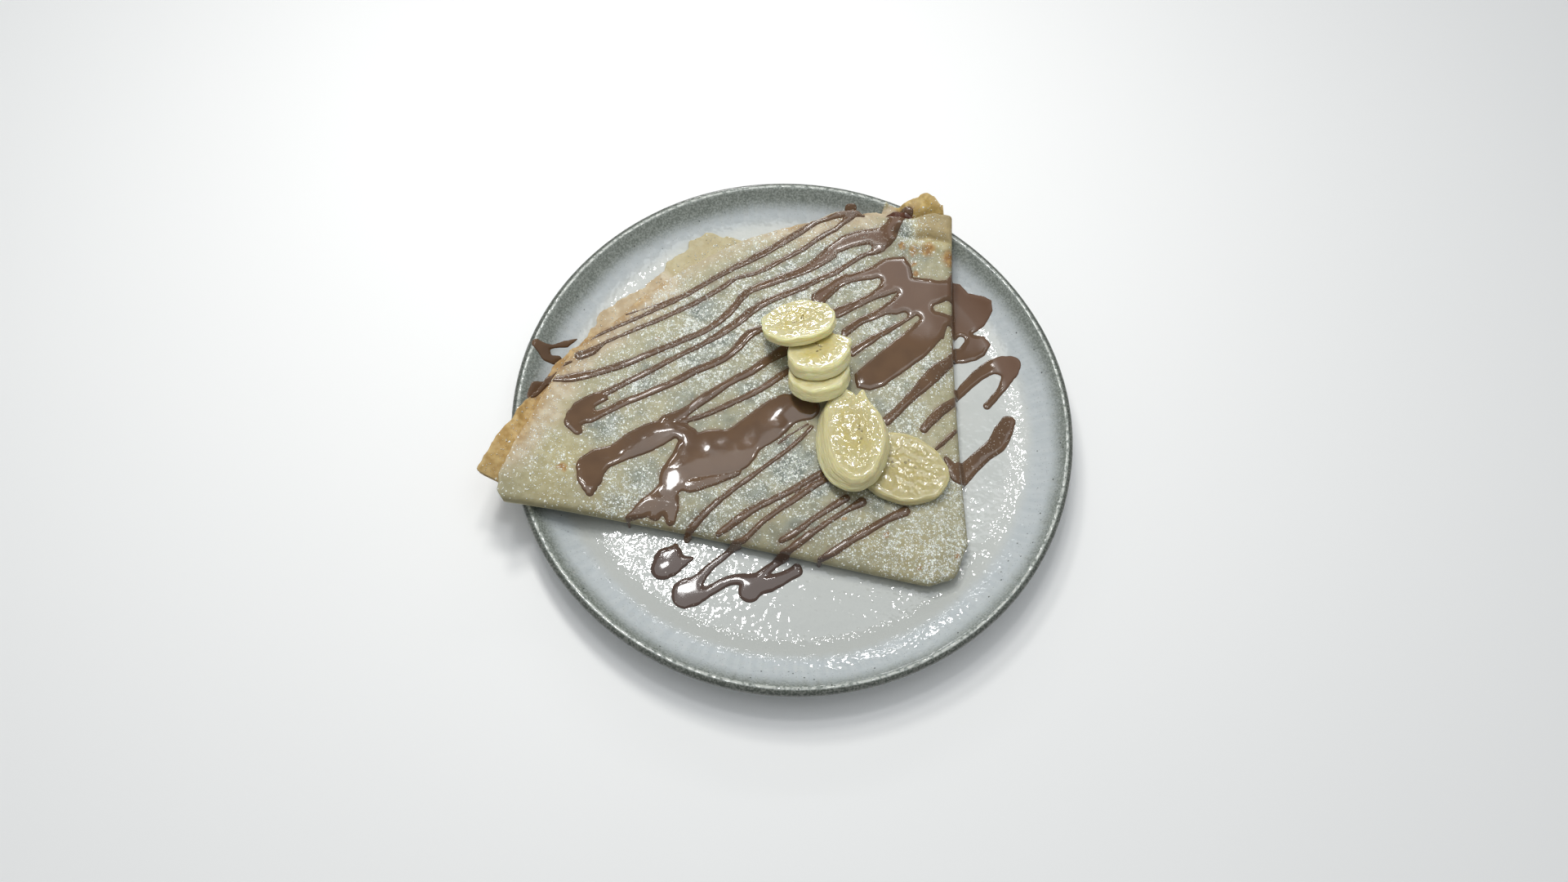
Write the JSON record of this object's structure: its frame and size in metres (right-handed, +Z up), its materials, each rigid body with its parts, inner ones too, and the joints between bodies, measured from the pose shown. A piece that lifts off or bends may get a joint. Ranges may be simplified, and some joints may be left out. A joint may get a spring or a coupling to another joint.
{
  "type": "folded crepe with banana slices and hazelnut sauce on a plate",
  "caption": "Quarter-folded thin pancake with banana slices, drizzled hazelnut sauce and icing sugar on a round speckled coupe plate.",
  "frame": {"origin": "bottom centre of the whole part's box, on the plane of the plate's foot ring", "axes": "+Z up; the picture's right is +X and its far side is +Y"},
  "size_m": [0.2518, 0.25, 0.0384],
  "materials": {
    "glazed_stoneware": "glossy speckled glaze",
    "crepe": "soft baked batter with sauce and sugar",
    "hazelnut_spread": "thick glossy spread",
    "banana": "moist cut fruit"
  },
  "bodies": {
    "root": {"plate": "glazed_stoneware", "crepe": "crepe", "hazelnut_spread": "hazelnut_spread", "banana_slice_1": "banana", "banana_slice_2": "banana", "banana_slice_3": "banana", "banana_slice_4": "banana", "banana_slice_5": "banana"}
  },
  "joints": []
}
